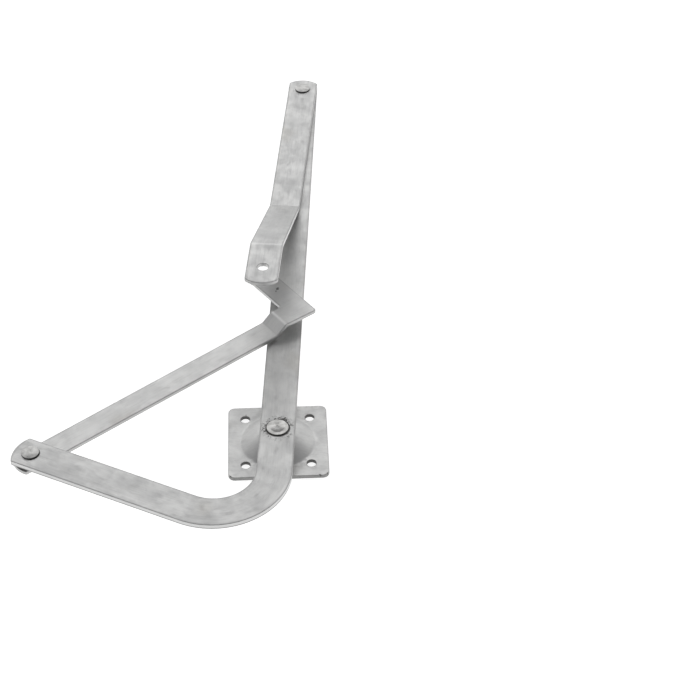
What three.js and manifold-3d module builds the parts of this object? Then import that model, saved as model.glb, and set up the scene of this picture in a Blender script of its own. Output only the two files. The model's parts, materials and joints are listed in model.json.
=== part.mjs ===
// Roof bracket, left hand: a folding linkage of riveted flat bar on a pressed screw plate.
//
// Frame, in millimetres: the origin is on the main pivot's axis, in the back face of the base
// plate. +Z points out of the plate, through the stack of bars. +Y runs along the plate's edge,
// towards the far end of the lever's long arm. The lever's short leg turns towards -X.
//
// The stack, from the plate outwards: base plate with its boss, spacer washer, lever, and on top
// of the lever's far end the upper arm. The lower link is riveted under the end of the short leg
// and climbs over the long arm. Every bar end is cut to a shallow arc.

import * as THREE from 'three';
import { mergeVertices } from 'three/addons/utils/BufferGeometryUtils.js';
import Module from 'manifold-3d';

const wasm = await Module();
wasm.setup();

const DEGREE = Math.PI / 180;
const QUARTER_TURN = Math.PI / 2;
const HALF_TURN = Math.PI;
const FULL_TURN = 2 * Math.PI;

// ---- Driving dimensions ---------------------------------------------------------------------

// Bar stock of the lever, of the thinner upper arm, and of the narrower link.
const LEVER_WIDTH = 26;
const LEVER_THICKNESS = 4;
const ARM_WIDTH = 25;
const ARM_THICKNESS = 3;
const LINK_WIDTH = 20;
const LINK_THICKNESS = 3;
const END_ARC_RADIUS = 19;
const LEVER_END_RADIUS = 24;
const CORNER_EASE = 0.8;

// Running gap between pieces that lie on each other, and the washers between and under them.
const RUNNING_GAP = 0.3;
const SPACER_THICKNESS = 0.8;
const SPACER_RADIUS = 9;
const BACKING_THICKNESS = 1;
const BACKING_RADIUS = 8.5;

// Base plate: a square of sheet with a hollow round boss pressed out of its middle.
const PLATE_SIDE = 73.5;
const PLATE_THICKNESS = 3;
const PLATE_CORNER_RADIUS = 5;
const SCREW_PITCH = 48;
const SCREW_HOLE_RADIUS = 3.5;
const BOSS_HEIGHT = 11.3;
const BOSS_FOOT_RADIUS = 27;
const BOSS_TOP_RADIUS = 13;
const BOSS_BEND_RADIUS = 5;

// Lever: long arm from the pivot to the top rivet, bend in its own plane, and short leg.
const LEVER_ARM = 438.5;
const LEVER_BEND_START = 43;
const LEVER_BEND_RADIUS = 42.3;
const LEVER_BEND_ANGLE = 113.5 * DEGREE;
const LEVER_LEG = 129;
const LEVER_ARM_TIP = 14;
const LEVER_LEG_TIP = 12.4;

// Upper arm, measured from the top rivet: flat run, climbing run, and level tab with its hole.
const ARM_FLAT = 176;
const ARM_CLIMB = 133.7;
const ARM_RISE = 65.2;
const ARM_TAB = 47;
const ARM_TAB_HOLE = 28;
const ARM_TAB_HOLE_RADIUS = 4.2;
const ARM_TIP = 14;
const ARM_BEND_RADIUS = 9;

// Lower link, measured from the end rivet: level foot, a run that climbs gently until it clears
// the lever, a short steep joggle, and a level cross tab that turns square to the run.
const LINK_FOOT = 16;
const LINK_RUN = 214.6;
const LINK_SLOPE = 2.89 * DEGREE;
const LINK_JOGGLE = 8.9;
const LINK_JOGGLE_RISE = 6.8;
const LINK_BEND_RADIUS = 3.5;
const LINK_TIP = 13;
const CROSS_TAB_INNER = 231.8;
const CROSS_TAB_OUTER = 251.8;
const CROSS_TAB_HOLE = 44.5;
const CROSS_TAB_TIP = 7.5;
const CROSS_TAB_HOLE_RADIUS = 3.5;
const CROSS_TAB_CORNER_RADIUS = 2;

// Rivets: radii of shank, head and formed tail, and the heights of the last two.
const PIVOT_RIVET = { shank: 5, head: 8.6, tail: 7.6 };
const BAR_RIVET = { shank: 4, head: 7, tail: 6.2 };
const HEAD_RIM = 0.8;
const HEAD_CROWN = 0.6;
const TAIL_HEIGHT = 1.8;

// Posture: turns about the three pivots, anticlockwise as seen from +Z.
const LEVER_TURN = -4 * DEGREE;
const ARM_TURN = -2.45 * DEGREE;
const LINK_TURN = 39.1 * DEGREE;

// Facets: steps of a whole circle and of a bar end, and the largest turn of one step in the
// plan's arcs and in a fold of the sheet.
const CIRCLE_STEPS = 36;
const END_STEPS = 12;
const ARC_STEP = 5 * DEGREE;
const FOLD_STEP = 9 * DEGREE;

// ---- Heights of the stack -------------------------------------------------------------------

const SPACER_GAP = SPACER_THICKNESS + 2 * RUNNING_GAP;
const LEVER_BOTTOM = BOSS_HEIGHT + SPACER_GAP;
const LEVER_TOP = LEVER_BOTTOM + LEVER_THICKNESS;
const ARM_BOTTOM = LEVER_TOP + SPACER_GAP;
const ARM_TOP = ARM_BOTTOM + ARM_THICKNESS;
const LINK_TOP = LEVER_BOTTOM - SPACER_GAP;
const LINK_BOTTOM = LINK_TOP - LINK_THICKNESS;

// ---- Points and outlines --------------------------------------------------------------------

function arcPoints(centre, radius, from, to) {
  const steps = Math.max(2, Math.ceil(Math.abs(to - from) / ARC_STEP));
  return Array.from({ length: steps + 1 }, (_, i) => {
    const angle = from + ((to - from) * i) / steps;
    return new THREE.Vector2(
      centre.x + radius * Math.cos(angle),
      centre.y + radius * Math.sin(angle),
    );
  });
}

function circlePoints(centre, radius) {
  return Array.from({ length: CIRCLE_STEPS }, (_, i) => {
    const angle = (i / CIRCLE_STEPS) * FULL_TURN;
    return new THREE.Vector2(
      centre.x + radius * Math.cos(angle),
      centre.y + radius * Math.sin(angle),
    );
  });
}

function addHole(shape, centre, radius) {
  shape.holes.push(new THREE.Path(circlePoints(centre, radius)));
}

// The arc-cut end of a bar, from the right-hand edge round to the left-hand one as seen along
// the heading. It reaches `tip` past the pivot, and its two corners are eased.
function barEnd(pivot, heading, tip, width, radius = END_ARC_RADIUS) {
  const half = width / 2;
  const place = (along, side) => new THREE.Vector2(
    pivot.x + along * Math.cos(heading) - side * Math.sin(heading),
    pivot.y + along * Math.sin(heading) + side * Math.cos(heading),
  );
  const spread = Math.asin((half - CORNER_EASE) / radius);
  const shoulder = tip - radius * (1 - Math.cos(spread)) - CORNER_EASE;
  const points = [place(shoulder, -half)];
  for (let i = 0; i <= END_STEPS; i += 1) {
    const angle = spread * ((2 * i) / END_STEPS - 1);
    points.push(place(tip - radius * (1 - Math.cos(angle)), radius * Math.sin(angle)));
  }
  points.push(place(shoulder, half));
  return points;
}

// The side of a bent strip whose middle line runs through the given points, with a bend at every
// inner one. The outline goes along the strip's left-hand face and back along the other.
function stripSide(line, thickness, bendRadius) {
  const left = [];
  const right = [];
  const half = thickness / 2;
  const addAt = (x, y, heading) => {
    const normal = new THREE.Vector2(-Math.sin(heading), Math.cos(heading));
    left.push(new THREE.Vector2(x, y).addScaledVector(normal, half));
    right.push(new THREE.Vector2(x, y).addScaledVector(normal, -half));
  };
  const headingOf = (i) => Math.atan2(line[i + 1][1] - line[i][1], line[i + 1][0] - line[i][0]);
  const last = line.length - 1;
  addAt(...line[0], headingOf(0));
  for (let i = 1; i < last; i += 1) {
    const headingIn = headingOf(i - 1);
    const turn = headingOf(i) - headingIn;
    const side = Math.sign(turn);
    const reach = bendRadius * Math.tan(Math.abs(turn) / 2);
    const centreX = line[i][0] - reach * Math.cos(headingIn) - side * bendRadius * Math.sin(headingIn);
    const centreY = line[i][1] - reach * Math.sin(headingIn) + side * bendRadius * Math.cos(headingIn);
    const steps = Math.max(2, Math.ceil(Math.abs(turn) / FOLD_STEP));
    for (let step = 0; step <= steps; step += 1) {
      const heading = headingIn + (turn * step) / steps;
      addAt(
        centreX + side * bendRadius * Math.sin(heading),
        centreY - side * bendRadius * Math.cos(heading),
        heading,
      );
    }
  }
  addAt(...line[last], headingOf(last - 1));
  return left.concat(right.reverse());
}

// ---- Solids ---------------------------------------------------------------------------------

// A flat shape made into a slab from z = low to z = high.
function slab(shape, low, high) {
  return new THREE.ExtrudeGeometry(shape, { depth: high - low, bevelEnabled: false })
    .translate(0, 0, low);
}

// A section of [radius, height] points turned about the Z axis.
function turned(section) {
  const profile = section.map(([radius, height]) => new THREE.Vector2(radius, height));
  return new THREE.LatheGeometry(profile, CIRCLE_STEPS).rotateX(QUARTER_TURN);
}

function solidOf(geometry) {
  const bare = geometry.clone();
  bare.deleteAttribute('normal');
  bare.deleteAttribute('uv');
  const merged = mergeVertices(bare, 1e-4);
  return new wasm.Manifold(new wasm.Mesh({
    numProp: 3,
    vertProperties: new Float32Array(merged.attributes.position.array),
    triVerts: new Uint32Array(merged.index.array),
  }));
}

function geometryOf(solid) {
  const mesh = solid.getMesh();
  const geometry = new THREE.BufferGeometry();
  geometry.setAttribute('position', new THREE.BufferAttribute(mesh.vertProperties, 3));
  geometry.setIndex(new THREE.BufferAttribute(mesh.triVerts, 1));
  geometry.computeVertexNormals();
  return geometry;
}

// A strip bent as its side shows and trimmed to its plan. It runs along +X, and its width along Y
// reaches `widest` to either hand before it is trimmed.
function bentBar(side, plan, widest) {
  const tallest = 2 * Math.max(...side.map((point) => point.y));
  const strip = slab(new THREE.Shape(side), -widest, widest).rotateX(QUARTER_TURN);
  const trimmed = solidOf(strip).intersect(solidOf(slab(plan, -tallest, tallest)));
  return geometryOf(trimmed);
}

// ---- Pieces ---------------------------------------------------------------------------------

const AT_ORIGIN = new THREE.Vector2(0, 0);

function basePlate() {
  const half = PLATE_SIDE / 2;
  const inset = half - PLATE_CORNER_RADIUS;
  const corners = [[1, 1], [-1, 1], [-1, -1], [1, -1]];
  const outline = corners.flatMap(([x, y], i) => arcPoints(
    new THREE.Vector2(x * inset, y * inset),
    PLATE_CORNER_RADIUS,
    i * QUARTER_TURN,
    (i + 1) * QUARTER_TURN,
  ));
  const flange = new THREE.Shape(outline);
  for (const [x, y] of corners) {
    const centre = new THREE.Vector2((x * SCREW_PITCH) / 2, (y * SCREW_PITCH) / 2);
    addHole(flange, centre, SCREW_HOLE_RADIUS);
  }

  // The boss is the same sheet, dished up from the flange and bored for the pivot rivet.
  const sheetMiddle = PLATE_THICKNESS / 2;
  const topMiddle = BOSS_HEIGHT - sheetMiddle;
  const flangeOverlap = 2;
  const mouthRadius = BOSS_FOOT_RADIUS + flangeOverlap;
  const section = stripSide([
    [PIVOT_RIVET.shank + RUNNING_GAP, topMiddle],
    [BOSS_TOP_RADIUS, topMiddle],
    [BOSS_FOOT_RADIUS, sheetMiddle],
    [mouthRadius + 1, sheetMiddle],
  ], PLATE_THICKNESS, BOSS_BEND_RADIUS);
  const closed = [...section, section[0]].reverse();
  const boss = turned(closed.map((point) => [point.x, point.y]));
  addHole(flange, AT_ORIGIN, mouthRadius);
  return geometryOf(solidOf(slab(flange, 0, PLATE_THICKNESS)).add(solidOf(boss)));
}

// The lever's plan has the main pivot at its origin and the long arm along +Y. Its short leg
// ends at LEG_END, where the link is riveted.
const BEND_CENTRE = new THREE.Vector2(-LEVER_BEND_RADIUS, -LEVER_BEND_START);
const LEG_HEADING = -QUARTER_TURN - LEVER_BEND_ANGLE;
const ARM_END = new THREE.Vector2(0, LEVER_ARM);
const LEG_END = new THREE.Vector2(
  BEND_CENTRE.x + LEVER_BEND_RADIUS * Math.cos(LEVER_BEND_ANGLE) + LEVER_LEG * Math.cos(LEG_HEADING),
  BEND_CENTRE.y - LEVER_BEND_RADIUS * Math.sin(LEVER_BEND_ANGLE) + LEVER_LEG * Math.sin(LEG_HEADING),
);

function lever() {
  const half = LEVER_WIDTH / 2;
  const plan = new THREE.Shape([
    ...barEnd(ARM_END, QUARTER_TURN, LEVER_ARM_TIP, LEVER_WIDTH, LEVER_END_RADIUS),
    ...arcPoints(BEND_CENTRE, LEVER_BEND_RADIUS - half, 0, -LEVER_BEND_ANGLE),
    ...barEnd(LEG_END, LEG_HEADING, LEVER_LEG_TIP, LEVER_WIDTH, LEVER_END_RADIUS),
    ...arcPoints(BEND_CENTRE, LEVER_BEND_RADIUS + half, -LEVER_BEND_ANGLE, 0),
  ]);
  addHole(plan, AT_ORIGIN, PIVOT_RIVET.shank + RUNNING_GAP);
  addHole(plan, ARM_END, BAR_RIVET.shank + RUNNING_GAP);
  addHole(plan, LEG_END, BAR_RIVET.shank + RUNNING_GAP);
  return slab(plan, LEVER_BOTTOM, LEVER_TOP);
}

// The upper arm lies along +X from its rivet, with its lower face at z = 0.
function upperArm() {
  const middle = ARM_THICKNESS / 2;
  const tabStart = ARM_FLAT + ARM_CLIMB;
  const side = stripSide([
    [-ARM_WIDTH, middle],
    [ARM_FLAT, middle],
    [tabStart, middle + ARM_RISE],
    [tabStart + ARM_TAB + ARM_WIDTH, middle + ARM_RISE],
  ], ARM_THICKNESS, ARM_BEND_RADIUS);
  const plan = new THREE.Shape([
    ...barEnd(new THREE.Vector2(tabStart, 0), 0, ARM_TAB, ARM_WIDTH),
    ...barEnd(AT_ORIGIN, HALF_TURN, ARM_TIP, ARM_WIDTH),
  ]);
  addHole(plan, AT_ORIGIN, BAR_RIVET.shank + RUNNING_GAP);
  addHole(plan, new THREE.Vector2(tabStart + ARM_TAB_HOLE, 0), ARM_TAB_HOLE_RADIUS);
  return bentBar(side, plan, ARM_WIDTH);
}

// The lower link lies along +X from its rivet, with the lower face of its foot at z = 0. Its
// cross tab reaches out along +Y.
function lowerLink() {
  const half = LINK_WIDTH / 2;
  const middle = LINK_THICKNESS / 2;
  const runEnd = middle + (LINK_RUN - LINK_FOOT) * Math.tan(LINK_SLOPE);
  const tabMiddle = runEnd + LINK_JOGGLE_RISE;
  const side = stripSide([
    [-LINK_WIDTH, middle],
    [LINK_FOOT, middle],
    [LINK_RUN, runEnd],
    [LINK_RUN + LINK_JOGGLE, tabMiddle],
    [CROSS_TAB_OUTER + LINK_WIDTH, tabMiddle],
  ], LINK_THICKNESS, LINK_BEND_RADIUS);

  const tabWidth = CROSS_TAB_OUTER - CROSS_TAB_INNER;
  const tabHole = new THREE.Vector2(CROSS_TAB_INNER + tabWidth / 2, CROSS_TAB_HOLE);
  const radius = CROSS_TAB_CORNER_RADIUS;
  const outerCorner = new THREE.Vector2(CROSS_TAB_OUTER - radius, radius - half);
  const innerCorner = new THREE.Vector2(CROSS_TAB_INNER - radius, radius + half);
  const plan = new THREE.Shape([
    ...barEnd(AT_ORIGIN, HALF_TURN, LINK_TIP, LINK_WIDTH),
    ...arcPoints(outerCorner, radius, -QUARTER_TURN, 0),
    ...barEnd(tabHole, QUARTER_TURN, CROSS_TAB_TIP, tabWidth),
    ...arcPoints(innerCorner, radius, 0, -QUARTER_TURN),
  ]);
  addHole(plan, AT_ORIGIN, BAR_RIVET.shank + RUNNING_GAP);
  addHole(plan, tabHole, CROSS_TAB_HOLE_RADIUS);
  return bentBar(side, plan, CROSS_TAB_HOLE + LINK_WIDTH);
}

function washer(outerRadius, shank, low, thickness) {
  const ring = new THREE.Shape(circlePoints(AT_ORIGIN, outerRadius));
  addHole(ring, AT_ORIGIN, shank + RUNNING_GAP);
  return slab(ring, low, low + thickness);
}

// A rivet from the underside of its head at z = top down to the upper side of its formed tail
// at z = bottom. The head is a rim under a low crown, and the tail a flattened button.
function rivet({ shank, head, tail }, bottom, top) {
  const crownSteps = 5;
  const crown = Array.from({ length: crownSteps + 1 }, (_, i) => {
    const angle = (i / crownSteps) * QUARTER_TURN;
    return [head * Math.cos(angle), top + HEAD_RIM + HEAD_CROWN * Math.sin(angle)];
  });
  crown[crownSteps][0] = 0;
  return turned([
    [0, bottom - TAIL_HEIGHT],
    [tail - TAIL_HEIGHT, bottom - TAIL_HEIGHT],
    [tail, bottom - TAIL_HEIGHT / 2],
    [tail, bottom],
    [shank, bottom],
    [shank, top],
    [head, top],
    ...crown,
  ]);
}

// ---- Assembly -------------------------------------------------------------------------------

const ZINC = { color: 0xbcbdbb, roughness: 0.5, metalness: 0.85 };
const ZINC_DARK = { color: 0xa6a7a6, roughness: 0.55, metalness: 0.85 };
const RIVET_STEEL = { color: 0xc9c8c2, roughness: 0.35, metalness: 0.95 };

function addPiece(group, name, geometry, finish) {
  const mesh = new THREE.Mesh(geometry, new THREE.MeshStandardMaterial(finish));
  mesh.name = name;
  group.add(mesh);
  return mesh;
}

// A rivet with the washer between its two pieces and the washer under its tail.
function addJoint(group, name, size, spacerLow, stackBottom, stackTop) {
  const backingLow = stackBottom - RUNNING_GAP - BACKING_THICKNESS;
  const spacer = washer(SPACER_RADIUS, size.shank, spacerLow, SPACER_THICKNESS);
  const backing = washer(BACKING_RADIUS, size.shank, backingLow, BACKING_THICKNESS);
  addPiece(group, `${name}_spacer`, spacer, ZINC_DARK);
  addPiece(group, `${name}_backing_washer`, backing, ZINC_DARK);
  addPiece(group, `${name}_rivet`, rivet(size, backingLow - RUNNING_GAP, stackTop + RUNNING_GAP), RIVET_STEEL);
}

const bracket = new THREE.Group();
addPiece(bracket, 'base_plate', basePlate(), ZINC);

const leverGroup = new THREE.Group();
leverGroup.rotation.z = LEVER_TURN;
bracket.add(leverGroup);
addPiece(leverGroup, 'lever', lever(), ZINC);

const bossUnderside = BOSS_HEIGHT - PLATE_THICKNESS;
addJoint(leverGroup, 'pivot', PIVOT_RIVET, BOSS_HEIGHT + RUNNING_GAP, bossUnderside, LEVER_TOP);

const armGroup = new THREE.Group();
armGroup.position.set(ARM_END.x, ARM_END.y, 0);
armGroup.rotation.z = ARM_TURN - QUARTER_TURN;
leverGroup.add(armGroup);
addPiece(armGroup, 'upper_arm', upperArm(), ZINC).position.z = ARM_BOTTOM;
addJoint(armGroup, 'top', BAR_RIVET, LEVER_TOP + RUNNING_GAP, LEVER_BOTTOM, ARM_TOP);

const linkGroup = new THREE.Group();
linkGroup.position.set(LEG_END.x, LEG_END.y, 0);
linkGroup.rotation.z = LINK_TURN;
leverGroup.add(linkGroup);
addPiece(linkGroup, 'lower_link', lowerLink(), ZINC).position.z = LINK_BOTTOM;
addJoint(linkGroup, 'end', BAR_RIVET, LINK_TOP + RUNNING_GAP, LINK_BOTTOM, LEVER_TOP);

export default bracket;
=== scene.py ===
import json
import math
import random

import bmesh
import bpy
from mathutils import Matrix, Vector, noise


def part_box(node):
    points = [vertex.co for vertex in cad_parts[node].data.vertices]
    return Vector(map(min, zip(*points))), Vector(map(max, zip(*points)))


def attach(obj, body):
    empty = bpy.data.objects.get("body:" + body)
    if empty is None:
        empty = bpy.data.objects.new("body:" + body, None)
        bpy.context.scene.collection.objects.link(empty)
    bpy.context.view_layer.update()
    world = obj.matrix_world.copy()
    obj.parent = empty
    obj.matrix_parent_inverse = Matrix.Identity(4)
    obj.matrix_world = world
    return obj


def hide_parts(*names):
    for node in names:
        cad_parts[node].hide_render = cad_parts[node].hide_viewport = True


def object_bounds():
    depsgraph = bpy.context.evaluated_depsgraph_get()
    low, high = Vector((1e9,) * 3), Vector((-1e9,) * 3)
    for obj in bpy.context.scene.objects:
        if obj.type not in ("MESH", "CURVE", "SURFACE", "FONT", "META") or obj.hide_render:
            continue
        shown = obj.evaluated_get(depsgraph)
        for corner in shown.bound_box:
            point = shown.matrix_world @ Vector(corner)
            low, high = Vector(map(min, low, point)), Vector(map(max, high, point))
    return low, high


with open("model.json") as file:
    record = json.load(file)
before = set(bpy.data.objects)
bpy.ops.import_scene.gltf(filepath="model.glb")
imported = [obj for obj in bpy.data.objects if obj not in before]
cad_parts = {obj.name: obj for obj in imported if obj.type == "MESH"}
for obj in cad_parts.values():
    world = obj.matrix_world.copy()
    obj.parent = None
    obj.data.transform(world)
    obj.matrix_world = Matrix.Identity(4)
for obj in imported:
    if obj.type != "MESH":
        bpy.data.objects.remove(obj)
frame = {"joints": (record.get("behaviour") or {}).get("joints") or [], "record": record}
cad_box = [list(corner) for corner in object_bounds()]

MM = 0.001
DEGREE = math.pi / 180

# ---- Places taken from the frame ------------------------------------------------------------

JOINT = {joint["name"]: Vector(joint["pos_m"]) for joint in frame["joints"]}
MOUNT = {mount["name"]: Vector(mount["pos_m"]) for mount in frame["record"]["mounts"]}
PIVOT = JOINT["lever_pivot"]
TOP = JOINT["upper_arm_pivot"]
END = JOINT["lower_link_pivot"]


def low(node):
    """Lowest height of a CAD node."""
    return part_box(node)[0].z


def thickness(node):
    """Height of a CAD node's box, which is a flat piece's thickness."""
    lowest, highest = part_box(node)
    return highest.z - lowest.z


def heading(start, end):
    """Direction from one point to another in the XY plane, as an angle from +X."""
    return math.atan2(end.y - start.y, end.x - start.x)


# ---- Driving dimensions, in metres ----------------------------------------------------------

LEVER_WIDTH = 26 * MM
ARM_WIDTH = 25 * MM
LINK_WIDTH = 20 * MM
END_ARC_RADIUS = 19 * MM
LEVER_END_RADIUS = 24 * MM
CORNER_EASE = 0.8 * MM
RIM_ROUNDING = 0.4 * MM
HOLE_ROUNDING = 0.25 * MM
WASHER_ROUNDING = 0.2 * MM

HEAD_INSET = 0.5 * MM
HEAD_HEIGHT = 1.68 * MM
TAIL_HEIGHT = 1.8 * MM
SHANK_CLEARANCE = 0.3 * MM
PIVOT_SHANK = 5 * MM
BAR_SHANK = 4 * MM

PLATE_THICKNESS = 3 * MM
PLATE_CORNER = 5 * MM
SCREW_PITCH = 48 * MM
SCREW_HOLE = 3.5 * MM
BOSS_TOP = 13 * MM
BOSS_FOOT = 27 * MM
BOSS_BEND = 5 * MM

LEVER_BEND_START = 43 * MM
LEVER_BEND_RADIUS = 42.3 * MM
LEVER_BEND_ANGLE = 113.5 * DEGREE
LEVER_LEG = 129 * MM
LEVER_ARM_TIP = 14 * MM
LEVER_LEG_TIP = 12.4 * MM

ARM_FLAT = 176 * MM
ARM_CLIMB = 133.7 * MM
ARM_TAB = 47 * MM
ARM_TAB_HOLE = 28 * MM
ARM_TAB_HOLE_RADIUS = 4.2 * MM
ARM_TIP = 14 * MM
ARM_BEND = 9 * MM
ARM_THICKNESS = 3 * MM

LINK_HEADING = 35.1 * DEGREE
LINK_THICKNESS = 3 * MM
LINK_FOOT = 16 * MM
LINK_RUN = 214.6 * MM
LINK_SLOPE = 2.89 * DEGREE
LINK_JOGGLE = 8.9 * MM
LINK_JOGGLE_RISE = 6.8 * MM
LINK_BEND = 3.5 * MM
LINK_TIP = 13 * MM
CROSS_TAB_INNER = 231.8 * MM
CROSS_TAB_OUTER = 251.8 * MM
CROSS_TAB_HOLE = 44.5 * MM
CROSS_TAB_TIP = 7.5 * MM
CROSS_TAB_HOLE_RADIUS = 3.5 * MM
CROSS_TAB_CORNER = 2 * MM

# The share of a rivet head's radius that its bulge takes up, and the bulge's height.
PIVOT_BULGE = (0.70, 0.98 * MM)
BAR_BULGE = (0.92, 0.55 * MM)

# Place on the plate's face and radius of its small dark nicks.
PLATE_NICKS = (
    ((30.0 * MM, -36.2 * MM, PLATE_THICKNESS), 1.5 * MM),
    ((35.2 * MM, -34.6 * MM, PLATE_THICKNESS), 1.2 * MM),
    ((-35.0 * MM, -34.8 * MM, PLATE_THICKNESS), 1.2 * MM),
    ((-23.6 * MM, 28.7 * MM, PLATE_THICKNESS), 0.7 * MM),
)

# Burrs round the pivot's head: the gap before the first of them, their smallest and largest
# radius, and each cluster's bearing from +X and spread in degrees, its depth and its count.
BURR_GAP = 0.4 * MM
BURR_SIZES = (0.16 * MM, 0.42 * MM)
BURR_CLUSTERS = (
    (60, 10, 3.2 * MM, 64),
    (88, 12, 2.4 * MM, 18),
    (182, 20, 3.4 * MM, 30),
    (292, 12, 1.4 * MM, 6),
    (120, 90, 2.0 * MM, 10),
)

# The grid that a blank is cut from: one wide cell along each edge, and narrower ones between.
# A long cell covers the lever's short end whole, which leaves its corners room to be eased.
EDGE_CELL = 2.6 * MM
INNER_CELL = 1.65 * MM
LONG_CELL = 5.4 * MM
CURVE_CELL = 2 * MM
BEND_CELL = 0.55 * MM
PLATE_CELL = 1.28 * MM
CROSS_TAB_CELL = 1.15 * MM
CROSS_TAB_LONG_CELL = 2.5 * MM

# Half the side of the square patch of cells that a hole is punched in.
SCREW_PATCH = 5.6 * MM
PIVOT_PATCH = 7.7 * MM
LINK_RIVET_PATCH = 7 * MM
CROSS_TAB_PATCH = 5 * MM

# A point this close to a hole's wall is on it, and two points this close in height are level.
TOUCH = 0.1 * MM

# ---- Camera, floor and light ----------------------------------------------------------------

CAMERA_AIM = Vector((0.0580, 0.1014, 0.0005))
CAMERA_DISTANCE = 1.4421
CAMERA_AZIMUTH = -2.70 * DEGREE
CAMERA_ELEVATION = 41.64 * DEGREE
CAMERA_LENS = 94.86

FLOOR_HALF = 12.0
FLOOR_GAP = 0.2 * MM
FLOOR_GLOW = 0.84
DARK_SIDE = (0.0, -0.45, 0.89)
DARK_SHADE = (0.26, 0.26, 0.265, 1)
WHITE = (1, 1, 1, 1)
SKY_STRENGTH = 0.97
WINDOW_AZIMUTH = 180 * DEGREE
WINDOW_ELEVATION = 44 * DEGREE
WINDOW_SPREAD = 46 * DEGREE
WINDOW_STRENGTH = 0.28

scene = bpy.context.scene


def direction(azimuth, elevation):
    """Unit vector back towards a viewer who looks along +Y from azimuth 0."""
    return Vector((
        math.sin(azimuth) * math.cos(elevation),
        -math.cos(azimuth) * math.cos(elevation),
        math.sin(elevation),
    ))


def put(obj):
    scene.collection.objects.link(obj)
    return obj


def make_camera():
    data = bpy.data.cameras.new("camera")
    data.lens = CAMERA_LENS
    data.sensor_width = 36
    data.clip_start = 0.05
    data.clip_end = 50
    camera = put(bpy.data.objects.new("camera", data))
    back = direction(CAMERA_AZIMUTH, CAMERA_ELEVATION)
    camera.location = CAMERA_AIM + back * CAMERA_DISTANCE
    camera.rotation_mode = "QUATERNION"
    camera.rotation_quaternion = (-back).to_track_quat("-Z", "Y")
    scene.camera = camera


def make_floor():
    bm = bmesh.new()
    half = FLOOR_HALF
    height = cad_box[0][2] - FLOOR_GAP
    corners = [(-half, -half), (half, -half), (half, half), (-half, half)]
    bm.faces.new([bm.verts.new((x, y, height)) for x, y in corners])
    mesh = bpy.data.meshes.new("floor")
    bm.to_mesh(mesh)
    bm.free()
    floor = put(bpy.data.objects.new("floor", mesh))
    material = bpy.data.materials.new("floor_paper")
    material.use_nodes = True
    shader = material.node_tree.nodes["Principled BSDF"]
    shader.inputs["Base Color"].default_value = (0.60, 0.60, 0.60, 1)
    shader.inputs["Roughness"].default_value = 0.9
    shader.inputs["Specular IOR Level"].default_value = 0.1
    shader.inputs["Emission Color"].default_value = WHITE
    shader.inputs["Emission Strength"].default_value = FLOOR_GLOW
    mesh.materials.append(material)


def make_world():
    """A white surround that is darker overhead and behind the camera."""
    world = bpy.data.worlds.new("studio")
    world.use_nodes = True
    scene.world = world
    tree = world.node_tree
    background = tree.nodes["Background"]
    where = tree.nodes.new("ShaderNodeTexCoord")
    towards = tree.nodes.new("ShaderNodeVectorMath")
    towards.operation = "DOT_PRODUCT"
    towards.inputs[1].default_value = DARK_SIDE
    ramp = tree.nodes.new("ShaderNodeValToRGB")
    ramp.color_ramp.interpolation = "EASE"
    bright, dark = ramp.color_ramp.elements
    bright.position = 0.20
    bright.color = WHITE
    dark.position = 0.52
    dark.color = DARK_SHADE
    tree.links.new(where.outputs["Generated"], towards.inputs[0])
    tree.links.new(towards.outputs["Value"], ramp.inputs["Fac"])
    tree.links.new(ramp.outputs["Color"], background.inputs["Color"])
    background.inputs["Strength"].default_value = SKY_STRENGTH


def make_window():
    """A wide, even light, like a large window far away."""
    data = bpy.data.lights.new("window", "SUN")
    data.angle = WINDOW_SPREAD
    data.energy = WINDOW_STRENGTH
    light = put(bpy.data.objects.new("window", data))
    towards = -direction(WINDOW_AZIMUTH, WINDOW_ELEVATION)
    light.rotation_mode = "QUATERNION"
    light.rotation_quaternion = towards.to_track_quat("-Z", "Y")


make_camera()
make_floor()
make_world()
make_window()
scene.view_settings.view_transform = "Standard"

# ---- Materials ------------------------------------------------------------------------------


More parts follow.
